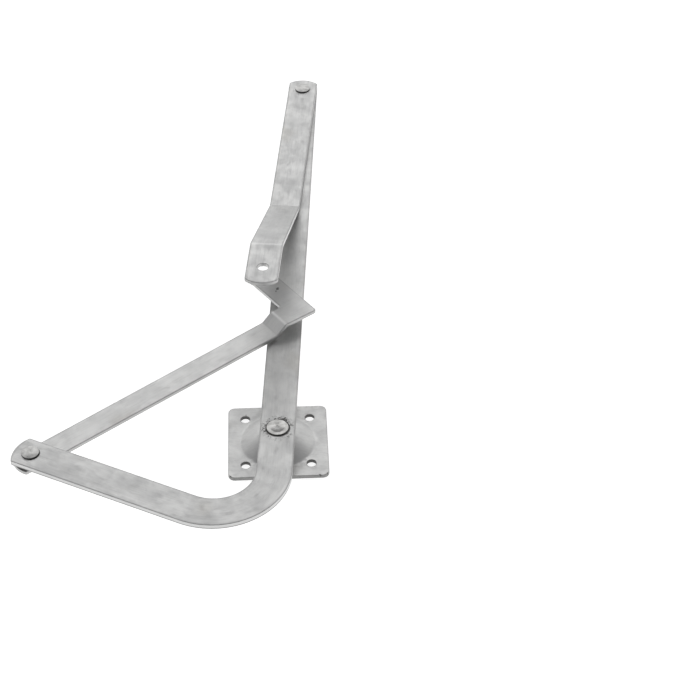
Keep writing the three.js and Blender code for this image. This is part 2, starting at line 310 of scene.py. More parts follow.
class Shader:
    """A small writer of node trees: each call adds a node, sets it and wires it."""

    def __init__(self, name):
        self.material = bpy.data.materials.new(name)
        self.material.use_nodes = True
        self.tree = self.material.node_tree
        self.surface = self.tree.nodes["Principled BSDF"]

    def node(self, kind, out=0, inputs=None, **settings):
        made = self.tree.nodes.new("ShaderNode" + kind)
        for name, value in settings.items():
            setattr(made, name, value)
        for name, value in (inputs or {}).items():
            self.feed(made.inputs[name], value)
        return made.outputs[out]

    def feed(self, socket, value):
        if isinstance(value, bpy.types.NodeSocket):
            self.tree.links.new(value, socket)
        else:
            socket.default_value = value

    def math(self, operation, a, b=0.0):
        return self.node("Math", inputs={0: a, 1: b}, operation=operation)

    def stretched(self, where, scale):
        return self.node("Mapping", inputs={"Vector": where, "Scale": scale})

    def noise(self, where, scale, detail=4.0, roughness=0.55, distortion=0.0):
        return self.node("TexNoise", inputs={
            "Vector": where, "Scale": scale, "Detail": detail,
            "Roughness": roughness, "Distortion": distortion,
        })

    def between(self, value, low_in, high_in, low_out=0.0, high_out=1.0):
        """The value, from low_in to high_in, mapped smoothly onto low_out to high_out."""
        return self.node("MapRange", interpolation_type="SMOOTHSTEP", inputs={
            "Value": value, "From Min": low_in, "From Max": high_in,
            "To Min": low_out, "To Max": high_out,
        })

    def mix(self, share, a, b):
        """Two colours mixed. A colour is a socket or three numbers."""
        colour = [c if isinstance(c, bpy.types.NodeSocket) else (*c, 1) for c in (a, b)]
        return self.node("Mix", out=2, data_type="RGBA", inputs={0: share, 6: colour[0], 7: colour[1]})

    def attribute(self, name, out=2):
        """A value stored on the mesh: output 1 is a vector and output 2 a number."""
        return self.node("Attribute", out=out, attribute_name=name, attribute_type="GEOMETRY")

    def distance(self, where, centre):
        return self.node("VectorMath", out=1, inputs={0: where, 1: centre}, operation="DISTANCE")

    def finish(self, colour, rough, bump, metallic):
        self.feed(self.surface.inputs["Base Color"], colour)
        self.feed(self.surface.inputs["Roughness"], rough)
        self.feed(self.surface.inputs["Normal"], bump)
        self.surface.inputs["Metallic"].default_value = metallic
        return self.material


ZINC_LIGHT = (0.640, 0.640, 0.632)
ZINC_MIDDLE = (0.560, 0.561, 0.557)
ZINC_DARK = (0.430, 0.431, 0.430)
ZINC_STAIN = (0.500, 0.480, 0.440)
# Painted highlight along the crest of a fold.
CREST_HIGHLIGHT = (0.930, 0.930, 0.925)
CUT_SIDE = (0.660, 0.660, 0.655)
LINK_CUT_SIDE = (0.500, 0.500, 0.495)
# The plate's cut side, darkened as painted shade where it sits on the floor.
PLATE_SHADED_CUT_SIDE = (0.270, 0.270, 0.266)
SHEARED_END = (0.500, 0.500, 0.495)
# Painted shade for the rims, the outline and the foot of the cut side.
ARRIS_SHADE = (0.250, 0.250, 0.250)
# Soot for the burnt flecks and pits, and also painted shade round rivets' heads, in holes and under
# heads.
SOOT_AND_SHADE = (0.060, 0.058, 0.056)


def zinc_noises(s, flat, along):
    """The plating's unevenness at each scale, with streaks and grain drawn out by `along`."""
    return {
        "cloud": s.noise(flat, 70, detail=5, roughness=0.62, distortion=0.4),
        "patches": s.noise(s.stretched(flat, (0.5, 1, 1)), 210, detail=3),
        "streaks": s.noise(s.stretched(flat, along), 420, detail=3, roughness=0.6),
        "grain": s.noise(s.stretched(flat, along), 1500, detail=2, roughness=0.6),
        "fine": s.noise(flat, 1900, detail=2),
        "smudge": s.noise(s.stretched(flat, (0.7, 0.9, 1)), 85, detail=2, roughness=0.45),
        "stain": s.noise(flat, 21, detail=2),
    }


def plated_face(s, flat, noises, tone, mottle, worn, dark_patches):
    """Colour of an open face: mottled and streaked, dull along its middle, smudged and stained, and
    darkened in soft patches of painted shade.
    """
    light = [channel * tone for channel in ZINC_LIGHT]
    middle = [channel * tone for channel in ZINC_MIDDLE]
    dark = [channel * tone for channel in ZINC_DARK]
    spread = 0.2 / mottle
    colour = s.mix(s.between(noises["cloud"], 0.5 - spread, 0.5 + spread), middle, light)
    colour = s.mix(s.between(noises["patches"], 0.50, 0.80, 0.0, 0.25 * mottle), colour, dark)
    colour = s.mix(s.between(noises["streaks"], 0.45, 0.80, 0.0, 0.30 * mottle), colour, dark)
    colour = s.mix(s.between(noises["grain"], 0.45, 0.80, 0.0, 0.25), colour, dark)
    off_middle = s.math("ABSOLUTE", s.node("SeparateXYZ", out=1, inputs={0: flat}))
    inside = s.between(off_middle, 0.40 * ARM_WIDTH, 0.16 * ARM_WIDTH)
    dull = s.math("MULTIPLY", inside, s.between(noises["smudge"], 0.40, 0.72, 0.0, worn))
    colour = s.mix(dull, colour, dark)
    # Soft patches of painted shade.
    for centre, radius, strength in dark_patches:
        away = s.distance(flat, centre)
        uneven = s.math("ADD", away, s.math("MULTIPLY", noises["smudge"], 0.6 * radius))
        colour = s.mix(s.between(uneven, 0.3 * radius, 1.3 * radius, strength, 0.0), colour, dark)
    return s.mix(s.between(noises["stain"], 0.60, 0.75, 0.0, 0.30), colour, ZINC_STAIN)


def worked_edges(s, flat, colour, cut_side, foot_shadow, shine, hole_shade):
    """The colour with what was bent and cut: a painted highlight on the crest of a fold, the cut side
    with painted shade along its rims and outline and a painted contact shadow at its foot, and
    painted shade in the walls of holes."""
    rim = s.attribute("rim")
    edge = s.attribute("edge")
    # Painted highlight along the humped crest of a fold.
    colour = s.mix(s.math("MULTIPLY", s.attribute("crest"), shine), colour, CREST_HIGHLIGHT)
    wall = s.mix(s.attribute("sheared"), cut_side, SHEARED_END)
    colour = s.mix(s.between(rim, 0.5, 0.8), colour, wall)
    # Painted shade: a thin dark line along the rims and a dark outline at the edges.
    arris = s.math("MULTIPLY", s.between(rim, 0.0, 0.13), s.between(rim, 0.80, 0.50))
    colour = s.mix(s.math("MULTIPLY", arris, 0.32), colour, ARRIS_SHADE)
    outline = s.math("MULTIPLY", s.between(edge, 0.5, 1.0, 0.0, 0.42), s.between(rim, 0.6, 0.3))
    colour = s.mix(outline, colour, ARRIS_SHADE)
    # Painted contact shadow on the lowest part of the cut side.
    above_foot = s.node("SeparateXYZ", out=2, inputs={0: flat})
    foot = s.math("MULTIPLY", s.between(rim, 0.3, 0.6), s.between(above_foot, 1.5 * MM, 0.8 * MM))
    colour = s.mix(s.math("MULTIPLY", foot, foot_shadow), colour, ARRIS_SHADE)
    # Painted shade in the walls of holes.
    return s.mix(s.between(s.attribute("bore"), 0.3, 0.8, 0.0, hole_shade), colour, SOOT_AND_SHADE)


def soot_and_shade_marks(s, flat, colour, shade_discs, burnt, pits):
    """The colour with painted shade round the rivets' heads, the burnt flecks round one, and the pits.
    """
    # Each dark disc lies under a rivet's head, and its edge shows round the head as painted shade.
    for centre, radius in shade_discs:
        away = s.distance(flat, centre)
        disc = s.between(away, radius - 0.3 * MM, radius + 0.3 * MM, 0.93, 0.0)
        colour = s.mix(disc, colour, SOOT_AND_SHADE)
    if burnt:
        centre, radius = burnt
        away = s.distance(flat, centre)
        near = s.between(away, radius + 1.0 * MM, radius + 6.0 * MM, 1.0, 0.0)
        flecks = s.noise(flat, 520, detail=3, roughness=0.7, distortion=0.6)
        clusters = s.between(s.noise(flat, 150, detail=1), 0.42, 0.60)
        marks = s.math("MULTIPLY", s.between(flecks, 0.49, 0.60, 0.0, 0.75), clusters)
        colour = s.mix(s.math("MULTIPLY", near, marks), colour, SOOT_AND_SHADE)
    for centre, radius in pits:
        away = s.distance(flat, centre)
        uneven = s.noise(s.stretched(flat, (0.5, 1, 1)), 800, detail=3)
        ragged = s.math("ADD", away, s.math("MULTIPLY", uneven, 3 * radius))
        colour = s.mix(s.between(ragged, radius * 1.9, radius * 2.3, 0.75, 0.0), colour, SOOT_AND_SHADE)
    return colour


def plating_relief(s, noises, mottle):
    """Roughness and bump of the plating."""
    rough = s.between(noises["cloud"], 0.3, 0.7, 0.49, 0.41)
    rough = s.math("ADD", rough, s.between(noises["patches"], 0.5, 0.8, 0.0, 0.10))
    rough = s.math("ADD", rough, s.between(noises["grain"], 0.4, 0.8, 0.0, 0.08))
    grain = s.math("MULTIPLY", noises["grain"], 0.6)
    height = s.math("ADD", grain, s.math("MULTIPLY", noises["fine"], 0.25))
    height = s.math("ADD", height, s.math("MULTIPLY", noises["patches"], 0.6 * mottle))
    bump = s.node("Bump", inputs={"Strength": 0.18, "Distance": 0.12 * MM, "Height": height})
    return rough, bump


def zinc(name, along=(0.05, 1, 1), tone=1.0, mottle=1.0, worn=0.3, cut_side=CUT_SIDE,
         foot_shadow=0.0, shine=0.3, hole_shade=0.75, shade_discs=(), burnt=None, pits=(), dark_patches=()):
    """Zinc-plated bar or sheet. `along` stretches its grain, `tone` brightens it, `mottle` is how
    uneven the plating is and `worn` how dull its middle is. `foot_shadow` paints a contact shadow on
    the lowest part of the cut side, `shine` paints a highlight on the humped side of a fold, and
    `hole_shade` paints shade in the walls of holes. `shade_discs` are the (centre, radius) of the
    painted shade that shows round a rivet's head, `burnt` is the one with marks round it, `pits`
    are small dark marks, and `dark_patches` are soft (centre, radius, strength) patches of painted
    shade."""
    s = Shader(name)
    flat = s.attribute("flat", 1)
    noises = zinc_noises(s, flat, along)
    colour = plated_face(s, flat, noises, tone, mottle, worn, dark_patches)
    colour = worked_edges(s, flat, colour, cut_side, foot_shadow, shine, hole_shade)
    colour = soot_and_shade_marks(s, flat, colour, shade_discs, burnt, pits)
    rough, bump = plating_relief(s, noises, mottle)
    return s.finish(colour, rough, bump, metallic=0.93)


def rivet_metal(name, bright, dark, gap_shade):
    """Peened steel: clouded and finely marked, with a line of painted shade where the head meets the
    bar.
    """
    s = Shader(name)
    here = s.node("TexCoord", out=3)
    rim = s.attribute("rim")
    cloud = s.noise(here, 260, detail=4, roughness=0.6, distortion=0.5)
    fine = s.noise(here, 1500, detail=3, roughness=0.65)
    colour = s.mix(s.between(cloud, 0.35, 0.66), dark, bright)
    colour = s.mix(s.between(fine, 0.55, 0.8, 0.0, 0.35), colour, dark)
    # Painted shade at the rim of the head's underside, where it meets the bar.
    colour = s.mix(s.between(rim, 0.25, 0.95, 0.0, gap_shade), colour, SOOT_AND_SHADE)
    rough = s.between(cloud, 0.3, 0.7, 0.38, 0.30)
    bump = s.node("Bump", inputs={"Strength": 0.12, "Distance": 0.1 * MM, "Height": cloud})
    return s.finish(colour, rough, bump, metallic=0.95)


PIVOT_RIVET_METAL = rivet_metal("pivot_rivet_metal", (0.60, 0.598, 0.585), (0.47, 0.467, 0.455), 0.85)
BAR_RIVET_METAL = rivet_metal("bar_rivet_metal", (0.50, 0.498, 0.488), (0.40, 0.398, 0.390), 0.85)
BURR_METAL = rivet_metal("burr_metal", (0.22, 0.215, 0.21), (0.08, 0.078, 0.075), 0.0)
WASHER_METAL = rivet_metal("washer_metal", (0.60, 0.60, 0.59), (0.42, 0.42, 0.415), 0.0)

# ---- Sheet-metal work -----------------------------------------------------------------------


def stations(marks, step):
    """The marks in order, with even steps no longer than `step` between them."""
    stops = sorted(set(round(mark, 7) for mark in marks))
    line = stops[:1]
    for start, stop in zip(stops, stops[1:]):
        count = max(1, math.ceil((stop - start) / step - 1e-3))
        line += [start + (stop - start) * i / count for i in range(1, count + 1)]
    return line


def widths(width):
    """Grid lines across a bar: a wide cell along each edge and narrow ones between."""
    half = width / 2
    return [-half, *stations([EDGE_CELL - half, half - EDGE_CELL], INNER_CELL), half]


def blank(xs, ys, sheet, keep=lambda x, y: True):
    """A flat blank on a grid, from z = 0 to the sheet's thickness."""
    bm = bmesh.new()
    made = {}

    def vert(i, j, top):
        if (i, j, top) not in made:
            made[i, j, top] = bm.verts.new((xs[i], ys[j], sheet if top else 0))
        return made[i, j, top]

    cells = {
        (i, j)
        for i in range(len(xs) - 1)
        for j in range(len(ys) - 1)
        if keep((xs[i] + xs[i + 1]) / 2, (ys[j] + ys[j + 1]) / 2)
    }
    for i, j in sorted(cells):
        corners = [(i, j), (i + 1, j), (i + 1, j + 1), (i, j + 1)]
        neighbours = [(i, j - 1), (i + 1, j), (i, j + 1), (i - 1, j)]
        bm.faces.new([vert(*corner, True) for corner in corners])
        bm.faces.new([vert(*corner, False) for corner in reversed(corners)])
        for k, neighbour in enumerate(neighbours):
            if neighbour not in cells:
                a, b = corners[k], corners[(k + 1) % 4]
                bm.faces.new([vert(*a, False), vert(*b, False), vert(*b, True), vert(*a, True)])
    bm.normal_update()
    return bm


def cut_end(bm, axis, start, tip, width_centre=0.0, radius=END_ARC_RADIUS):
    """Curves the end of a bar to an arc: past `start` along the axis, up to `tip`."""
    across = 1 - axis
    span = tip - start
    for v in bm.verts:
        share = (v.co[axis] - start) / span
        if share > 0:
            side = v.co[across] - width_centre
            sagitta = radius - math.sqrt(radius ** 2 - side ** 2)
            v.co[axis] -= math.copysign(sagitta, span) * share
    bm.normal_update()


def round_corners(bm, radius, near=None, reach=1 * MM):
    """Rounds the upright corner edges, or only those near the given points."""
    def wanted(edge):
        upright = abs(edge.verts[0].co.z - edge.verts[1].co.z) > 1 * MM
        if not upright or len(edge.link_faces) != 2 or edge.calc_face_angle() < 30 * DEGREE:
            return False
        if near is None:
            return True
        x, y = edge.verts[0].co.xy
        return any(math.hypot(x - px, y - py) < reach for px, py in near)

    edges = [edge for edge in bm.edges if wanted(edge)]
    bmesh.ops.bevel(bm, geom=edges, offset=radius, segments=5, profile=0.5, affect="EDGES")
    bm.normal_update()


def bearing(point, centre):
    """Direction of a point from a centre, which is (x, y)."""
    return math.atan2(point.y - centre[1], point.x - centre[0])


def open_patch(bm, centre, reach, top):
    """Takes the square patch of cells within `reach` of the centre out of the sheet's top or
    underside, and returns the points round it in order of their bearing."""
    patch = [
        face for face in bm.faces
        if (face.normal.z > 0.5 if top else face.normal.z < -0.5)
        and max(abs(face.calc_center_median().x - centre[0]),
                abs(face.calc_center_median().y - centre[1])) < reach
    ]
    inside = set(patch)
    border = [e for f in patch for e in f.edges if sum(g in inside for g in e.link_faces) == 1]
    around = {v for e in border for v in e.verts}
    bmesh.ops.delete(bm, geom=patch, context="FACES")
    return sorted(around, key=lambda v: bearing(v.co, centre))


def punch_circles(bm, loop, centre, reach, radius):
    """The patch's border and two circles inside it, each with as many points as the border."""
    step = 2 * math.pi / len(loop)
    start = sum(bearing(v.co, centre) - k * step for k, v in enumerate(loop)) / len(loop)
    height = loop[0].co.z
    circles = [loop]
    for size in ((radius + reach) / 2, radius):
        circles.append([
            bm.verts.new((
                centre[0] + size * math.cos(start + k * step),
                centre[1] + size * math.sin(start + k * step),
                height,
            ))
            for k in range(len(loop))
        ])
    return circles


def punch(bm, centre, reach, radius):
    """Punches a round hole in the square patch of cells within `reach` of the centre."""
    rings = {}
    for top in (True, False):
        loop = open_patch(bm, centre, reach, top)
        rings[top] = punch_circles(bm, loop, centre, reach, radius)
    count = len(rings[True][0])
    for k in range(count):
        n = (k + 1) % count
        for top in (True, False):
            for outer, inner in zip(rings[top], rings[top][1:]):
                quad = [outer[k], outer[n], inner[n], inner[k]]
                bm.faces.new(quad if top else quad[::-1])
        upper, under = rings[True][-1], rings[False][-1]
        bm.faces.new([upper[k], upper[n], under[n], under[k]])
    bm.normal_update()


def in_hole(point, holes):
    """Whether a point of the flat blank is on the wall of one of the holes, (x, y, radius)."""
    return any(math.hypot(point.x - x, point.y - y) < radius + TOUCH for x, y, radius in holes)


def round_rims(bm, holes=()):
    """Rounds the rims between a face of the sheet and its cut side: fully round the outline, and
    less in the holes, which are (x, y, radius)."""
    outline, hole_rims = [], []
    for edge in bm.edges:
        a, b = (v.co for v in edge.verts)
        if len(edge.link_faces) != 2 or abs(a.z - b.z) > TOUCH:
            continue
        if 60 * DEGREE < edge.calc_face_angle() < 120 * DEGREE:
            (hole_rims if in_hole(a, holes) else outline).append(edge)
    for edges, size in ((outline, RIM_ROUNDING), (hole_rims, HOLE_ROUNDING)):
        bmesh.ops.bevel(bm, geom=edges, offset=size, segments=3, profile=0.5, affect="EDGES",
                        clamp_overlap=False)
    bm.normal_update()


def remember_flat(bm, holes=(), from_x=-1.0, to_x=1.0):
    """Stores each point's place in the flat blank, how far round the rim it lies, and whether it
    is on the rim or the cut side, in the wall of one of the holes, or on the sheared ends before
    from_x and past to_x. The crest of a fold is stored later."""
    flat = bm.verts.layers.float_vector.new("flat")
    rim = bm.verts.layers.float.new("rim")
    edge = bm.verts.layers.float.new("edge")
    bore = bm.verts.layers.float.new("bore")
    sheared = bm.verts.layers.float.new("sheared")
    bm.verts.layers.float.new("crest")
    for v in bm.verts:
        v[flat] = v.co
        v[rim] = 1 - abs(v.normal.z)
        v[edge] = v[rim] > 0.001
        v[sheared] = not from_x < v.co.x < to_x
        v[bore] = in_hole(v.co, holes)


def ripple(bm, height, length, seed):
    """Makes a rolled bar's faint waviness."""
    for v in bm.verts:
        spot = Vector((v.co.x / length, v.co.y / length, seed))
        v.co.z += height * noise.noise(spot)
        v.co.y += 0.5 * height * noise.noise(spot * 2.3)


def fold_line(x, line, radius):
    """Height and slope at x of a middle line through the points, rounded at its inner points, and
    how deep in a fold x is: from 0 to 1 if it is hollow above, and from 0 to -1 if it is humped."""
    angles = [math.atan2(b[1] - a[1], b[0] - a[0]) for a, b in zip(line, line[1:])]
    segment = 0
    for i, (px, pz) in enumerate(line[1:-1]):
        turn = angles[i + 1] - angles[i]
        side = math.copysign(1, turn)
        reach = radius * math.tan(abs(turn) / 2)
        start_x = px - reach * math.cos(angles[i])
        start_z = pz - reach * math.sin(angles[i])
        end_x = px + reach * math.cos(angles[i + 1])
        if start_x <= x <= end_x:
            centre_x = start_x - side * radius * math.sin(angles[i])
            centre_z = start_z + side * radius * math.cos(angles[i])
            slope = math.asin(side * (x - centre_x) / radius)
            depth = 1 - abs(2 * (slope - angles[i]) / turn - 1)
            return centre_z - side * radius * math.cos(slope), slope, side * depth
        if x > end_x:
            segment = i + 1
    px, pz = line[segment]
    return pz + (x - px) * math.tan(angles[segment]), angles[segment], 0.0


def fold_marks(line, radius):
    """Grid marks that put narrow cells in each fold."""
    marks = []
    for (ax, az), (bx, bz), (cx, cz) in zip(line, line[1:], line[2:]):
        into = math.atan2(bz - az, bx - ax)
        out = math.atan2(cz - bz, cx - bx)
        reach = radius * math.tan(abs(out - into) / 2)
        marks += stations([bx - reach * math.cos(into), bx + reach * math.cos(out)], BEND_CELL)
    return marks


def fold(bm, line, radius, sheet):
    """Folds a flat blank so that its middle follows the line, keeping its plan."""
    crest = bm.verts.layers.float["crest"]
    for v in bm.verts:
        height, slope, depth = fold_line(v.co.x, line, radius)
        off = v.co.z - sheet / 2
        v[crest] = max(0.0, -depth if off > 0 else depth)
        v.co.x -= off * math.sin(slope)
        v.co.z = height + off * math.cos(slope)


def bend_edgewise(bm, start, radius, angle):
    """Bends the part of a flat bar before x = -start towards +Y, in the bar's own plane."""
    for v in bm.verts:
        back = -start - v.co.x
        if back > 0:
            turn = min(back / radius, angle)
            past = max(0.0, back - radius * angle)
            from_centre = radius - v.co.y
            v.co.x = -start - from_centre * math.sin(turn) - past * math.cos(turn)
            v.co.y = radius - from_centre * math.cos(turn) + past * math.sin(turn)


def round_outline(bm, inset):
    """Draws the corners of a square blank in to arcs, past `inset` on both sides."""
    for v in bm.verts:
        corner = Vector((math.copysign(inset, v.co.x), math.copysign(inset, v.co.y)))
        out = v.co.xy - corner
        if out.x * corner.x > 0 and out.y * corner.y > 0:
            v.co.xy = corner + out * (max(abs(out.x), abs(out.y)) / out.length)
    bm.normal_update()


def press(bm, line, radius, sheet):
    """Presses a flat blank so that its middle follows the line, turned about the blank's centre.
    Where it is hollow above, it is marked for a painted highlight."""
    crest = bm.verts.layers.float["crest"]
    for v in bm.verts:
        out = math.hypot(v.co.x, v.co.y)
        height, slope, depth = fold_line(out, line, radius)
        off = v.co.z - sheet / 2
        v[crest] = 0.3 * max(0.0, depth) ** 2
        v.co.xy *= (out - off * math.sin(slope)) / out
        v.co.z = height + off * math.cos(slope)


def lathe(profile, steps, wobble=0.0, seed=0.0):
    """A closed (radius, height) section turned about Z, with a faint hammered unevenness."""
    bm = bmesh.new()
    bm.verts.layers.float.new("rim")
    rows = []
    for radius, height in profile:
        if radius < 1e-9:
            rows.append([bm.verts.new((0, 0, height))] * steps)
            continue
        row = []
        for k in range(steps):
            angle = 2 * math.pi * k / steps
            spot = Vector((radius * math.cos(angle), radius * math.sin(angle), height))
            swell = wobble * noise.noise(spot * 260 + Vector((0, 0, seed)))
            row.append(bm.verts.new(spot * (1 + swell / max(radius, 1 * MM))))
        rows.append(row)
    on_axis = profile[0][0] < 1e-9
    pairs = list(zip(rows, rows[1:])) + ([] if on_axis else [(rows[-1], rows[0])])
    for a, b in pairs:
        for k in range(steps):
            n = (k + 1) % steps
            corners = []
            for v in (a[k], a[n], b[n], b[k]):
                if v not in corners:
                    corners.append(v)
            bm.faces.new(corners)
    bmesh.ops.recalc_face_normals(bm, faces=bm.faces)
    bm.normal_update()
    return bm


def rounded(points, radius, steps=3):
    """A closed section with its corners rounded."""
    line = []
    for i, point in enumerate(points):
        here = Vector(point)
        before = (Vector(points[i - 1]) - here).normalized()
        after = (Vector(points[(i + 1) % len(points)]) - here).normalized()
        for k in range(steps + 1):
            share = k / steps
            a = here + before * radius * (1 - share) ** 2
            line.append(tuple(a + after * radius * share ** 2))
    return line


def finish_piece(bm, name, material, body, node, place):
    """Turns the worked mesh into a piece that stands for a CAD node and rides on its body."""
    mesh = bpy.data.meshes.new(name)
    bm.to_mesh(mesh)
    bm.free()
    mesh.transform(place)
    mesh.shade_smooth()
    mesh.materials.append(material)
    piece = put(bpy.data.objects.new(name, mesh))
    shading = piece.modifiers.new("even_faces", "WEIGHTED_NORMAL")
    shading.keep_sharp = True
    if node:
        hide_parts(node)
    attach(piece, body)
    return piece


def placed(origin, angle, height):
    """A local frame at a point of the XY plane, turned about Z, at a height."""
    return Matrix.Translation((origin.x, origin.y, height)) @ Matrix.Rotation(angle, 4, "Z")


# ---- Pieces ---------------------------------------------------------------------------------

LEVER_HEADING = heading(PIVOT, TOP)
ARM_HEADING = heading(TOP, MOUNT["arm_tab_top"])


def head_disc(node, centre, turned, spare, shift_mm):
    """Centre and radius, on a flat blank turned to `turned`, of the dark disc that shows round a
    rivet's head as painted shade. It is wider than the head by `spare` and moved by `shift_mm` in X
    and Y, which makes the shade thicker on one side."""
    lowest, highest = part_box(node)
    shift = Matrix.Rotation(-turned, 2) @ (Vector(shift_mm) * MM)
    spot = (centre[0] + shift.x, centre[1] + shift.y, centre[2])
    return spot, (highest.x - lowest.x) / 2 - HEAD_INSET + spare


def make_plate():
    lowest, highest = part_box("base_plate")
    half = (highest.x - lowest.x) / 2
    screw = SCREW_PITCH / 2
    inset = half - PLATE_CORNER
    marks = [-half, half, -inset, inset, -PIVOT_PATCH, PIVOT_PATCH]
    marks += [side * screw + end * SCREW_PATCH for side in (-1, 1) for end in (-1, 1)]
    lines = stations(marks, PLATE_CELL)
    bm = blank(lines, lines, PLATE_THICKNESS)
    round_outline(bm, inset)
    holes = [(x, y, SCREW_HOLE) for x in (-screw, screw) for y in (-screw, screw)]
    for x, y, radius in holes:
        punch(bm, (x, y), SCREW_PATCH, radius)
    punch(bm, (0, 0), PIVOT_PATCH, PIVOT_SHANK + SHANK_CLEARANCE)
    round_rims(bm, holes)
    remember_flat(bm, holes)
    middle = PLATE_THICKNESS / 2
    top = highest.z - middle
    line = [(0, top), (BOSS_TOP, top), (BOSS_FOOT, middle), (2 * half, middle)]
    press(bm, line, BOSS_BEND, PLATE_THICKNESS)
    # The plate's cut side and hole walls are darkened as painted shade, and the boss's foot gets a
    # painted highlight.
    material = zinc("zinc_plate", along=(0.25, 1, 1), tone=1.06, mottle=0.6, worn=0.0,
                    cut_side=PLATE_SHADED_CUT_SIDE, pits=PLATE_NICKS)
    return finish_piece(bm, "plate_pressing", material, "plate", "base_plate",
                        Matrix.Identity(4))


def make_lever():
    sheet = thickness("lever")
    arm = (TOP - PIVOT).xy.length
    arc = LEVER_BEND_RADIUS * LEVER_BEND_ANGLE
    leg_rivet = -(LEVER_BEND_START + arc + LEVER_LEG)
    ys = widths(LEVER_WIDTH)
    reach = 4.5 * (ys[2] - ys[1])
    holes = [(0.0, PIVOT_SHANK), (arm, BAR_SHANK), (leg_rivet, BAR_SHANK)]
    marks = [leg_rivet - LEVER_LEG_TIP, arm + LEVER_ARM_TIP]
    for x, _ in holes:
        marks += stations([x - reach, x + reach], INNER_CELL)
    marks += stations([-LEVER_BEND_START - arc, -LEVER_BEND_START], CURVE_CELL)
    bm = blank(stations(marks, LONG_CELL), ys, sheet)
    for x, shank in holes:
        punch(bm, (x, 0), reach, shank + SHANK_CLEARANCE)
    cut_end(bm, 0, arm + reach, arm + LEVER_ARM_TIP, radius=LEVER_END_RADIUS)
    cut_end(bm, 0, leg_rivet - reach, leg_rivet - LEVER_LEG_TIP, radius=LEVER_END_RADIUS)
    round_corners(bm, CORNER_EASE)
    round_rims(bm)
    remember_flat(bm, from_x=leg_rivet - reach, to_x=arm + reach)
    ripple(bm, height=0.12 * MM, length=60 * MM, seed=3.1)
    bend_edgewise(bm, LEVER_BEND_START, LEVER_BEND_RADIUS, LEVER_BEND_ANGLE)
    leg_heading = LEVER_HEADING - LEVER_BEND_ANGLE
    # Discs of painted shade round the pivot and end rivets' heads, with burnt flecks round the pivot;
    # a painted contact shadow along the lever's foot.
    pivot_disc = head_disc("pivot_rivet", (0, 0, sheet), LEVER_HEADING, 1.1 * MM, (0.2, -0.4))
    end_disc = head_disc("end_rivet", (leg_rivet, 0, sheet), leg_heading, 0.2 * MM, (0.45, -0.45))
    material = zinc("zinc_lever", foot_shadow=0.75, shade_discs=[pivot_disc, end_disc],
                    burnt=pivot_disc)
    return finish_piece(bm, "lever_bar", material, "lever", "lever",
                        placed(PIVOT, LEVER_HEADING, low("lever")))


def make_arm():
    lowest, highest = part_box("upper_arm")
    rise = highest.z - lowest.z - ARM_THICKNESS
    middle = ARM_THICKNESS / 2
    tab = ARM_FLAT + ARM_CLIMB
    hole = tab + ARM_TAB_HOLE
    line = [(-ARM_WIDTH, middle), (ARM_FLAT, middle), (tab, middle + rise),
            (tab + ARM_TAB + ARM_WIDTH, middle + rise)]
    ys = widths(ARM_WIDTH)
    reach = 4.5 * (ys[2] - ys[1])
    marks = [-ARM_TIP, tab + ARM_TAB, *fold_marks(line, ARM_BEND)]
    for x in (0.0, hole):
        marks += stations([x - reach, x + reach], INNER_CELL)
    bm = blank(stations(marks, LONG_CELL), ys, ARM_THICKNESS)
    punch(bm, (0, 0), reach, BAR_SHANK + SHANK_CLEARANCE)
    punch(bm, (hole, 0), reach, ARM_TAB_HOLE_RADIUS)
    cut_end(bm, 0, -reach, -ARM_TIP)
    cut_end(bm, 0, hole + reach, tab + ARM_TAB)
    round_corners(bm, CORNER_EASE)
    holes = [(hole, 0, ARM_TAB_HOLE_RADIUS)]
    round_rims(bm, holes)
    remember_flat(bm, holes, from_x=-reach, to_x=hole + reach)
    ripple(bm, height=0.12 * MM, length=55 * MM, seed=8.7)
    fold(bm, line, ARM_BEND, ARM_THICKNESS)
    # Painted shade round the top rivet's head.
    disc = head_disc("top_rivet", (0, 0, ARM_THICKNESS), ARM_HEADING, 0.0, (0.1, -0.75))
    # Soft dark patches: painted shade over the climb, and a smaller dark patch high on it.
    darker_spots = [((ARM_FLAT + 70 * MM, 0, 0), 80 * MM, 0.45),
               ((tab - 22 * MM, -4 * MM, 0), 16 * MM, 0.8)]
    # Only a little painted shade in the tab's hole, which is high above the floor.
    material = zinc("zinc_arm", worn=0.6, hole_shade=0.12, shade_discs=[disc], dark_patches=darker_spots)
    return finish_piece(bm, "upper_arm_bar", material, "arm", "upper_arm",
                        placed(TOP, ARM_HEADING, low("upper_arm")))


